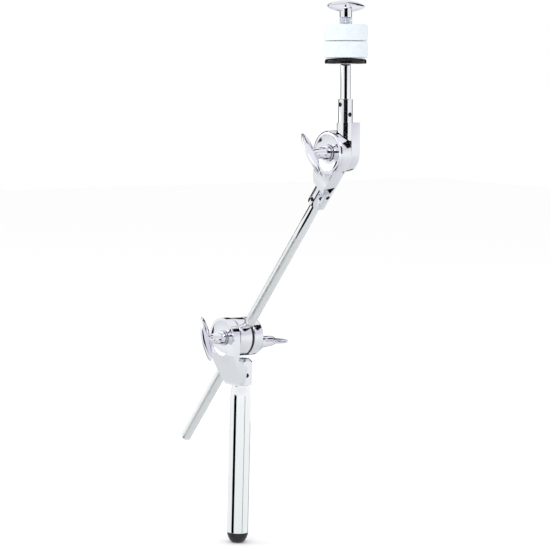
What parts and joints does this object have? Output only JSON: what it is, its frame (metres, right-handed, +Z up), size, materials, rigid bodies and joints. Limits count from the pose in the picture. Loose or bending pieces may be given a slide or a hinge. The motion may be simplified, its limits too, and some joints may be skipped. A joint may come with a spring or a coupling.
{
  "type": "cymbal boom arm",
  "caption": "Chrome cymbal boom arm: short post, clamp hub, sliding boom rod, toothless tilter and a felt cymbal seat with wing screws.",
  "frame": {"origin": "centre of the foot cap's flat bottom face, on the post's axis", "axes": "+Z up along the post; +Y along both tilt axes, from the tilt wing screws towards the boom's clamp wing nut; +X towards the side the boom leans to"},
  "size_m": [0.2391, 0.0834, 0.4972],
  "materials": {
    "chrome_steel": "bright chrome plate on steel tube and rod",
    "chrome_zinc": "bright chrome plate on cast zinc",
    "zinc_steel": "zinc plated turned steel",
    "black_steel": "black oxide",
    "black_plastic": "moulded, slight sheen",
    "friction_fibre": "dull pressed fibre",
    "clear_nylon": "clear, smooth",
    "wool_felt": "pressed white felt"
  },
  "bodies": {
    "post": {"post_tube": "chrome_steel", "foot_cap": "black_plastic", "lower_yoke": "chrome_zinc", "yoke_set_screw": "black_steel", "lower_brake_disc": "friction_fibre", "lower_tilt_washer": "zinc_steel"},
    "hub": {"hub_drum": "chrome_zinc", "clamp_cap": "chrome_zinc", "clamp_pad_upper": "friction_fibre", "clamp_pad_lower": "friction_fibre", "clamp_bolt": "zinc_steel", "clamp_washer": "zinc_steel"},
    "lower_tilt_screw": {"lower_tilt_wing": "chrome_zinc", "lower_tilt_stud": "zinc_steel"},
    "clamp_nut": {"clamp_wing_nut": "chrome_zinc"},
    "boom": {"boom_rod": "chrome_steel"},
    "head": {"upper_yoke": "chrome_zinc", "socket_set_screw_front": "black_steel", "socket_set_screw_side": "black_steel", "upper_brake_disc": "friction_fibre", "upper_tilt_washer": "zinc_steel"},
    "tilter": {"rod_holder": "chrome_zinc", "rod_set_screw_front": "black_steel", "rod_set_screw_side": "black_steel", "cymbal_rod": "chrome_steel", "seat_collar": "zinc_steel", "cup_washer": "black_plastic", "cymbal_sleeve": "clear_nylon", "lower_felt": "wool_felt"},
    "upper_tilt_screw": {"upper_tilt_wing": "chrome_zinc", "upper_tilt_stud": "zinc_steel"},
    "top_felt": {"upper_felt": "wool_felt"},
    "top_nut": {"top_wing_nut": "chrome_zinc"}
  },
  "joints": [
    {"name": "lower_tilt", "type": "hinge", "parent": "post", "child": "hub", "pos_m": [0, 0, 0.191], "axis": [0, 1, 0], "range_deg": [-3, 80]},
    {"name": "lower_tilt_screw_turn", "type": "hinge", "parent": "hub", "child": "lower_tilt_screw", "pos_m": [0, 0, 0.191], "axis": [0, 1, 0], "continuous": true},
    {"name": "clamp_nut_turn", "type": "hinge", "parent": "hub", "child": "clamp_nut", "pos_m": [0.00682, 0, 0.18568], "axis": [0, 1, 0], "continuous": true},
    {"name": "boom_slide", "type": "slide", "parent": "hub", "child": "boom", "axis": [0.6157, 0, 0.788], "range_m": [-0.045, 0.1]},
    {"name": "boom_turn", "type": "hinge", "parent": "boom", "child": "head", "pos_m": [0, 0, 0.191], "axis": [0.6157, 0, 0.788], "continuous": true},
    {"name": "upper_tilt", "type": "hinge", "parent": "head", "child": "tilter", "pos_m": [0.12777, 0, 0.36591], "axis": [0, 1, 0], "range_deg": [-120, 84]},
    {"name": "upper_tilt_screw_turn", "type": "hinge", "parent": "tilter", "child": "upper_tilt_screw", "pos_m": [0.12777, 0, 0.36591], "axis": [0, 1, 0], "continuous": true},
    {"name": "top_felt_slide", "type": "slide", "parent": "tilter", "child": "top_felt", "axis": [-0.0349, 0, 0.9994], "range_m": [0, 0.009]},
    {"name": "top_nut_turn", "type": "hinge", "parent": "tilter", "child": "top_nut", "pos_m": [0.13707, 0, 0.36624], "axis": [-0.0349, 0, 0.9994], "continuous": true}
  ]
}
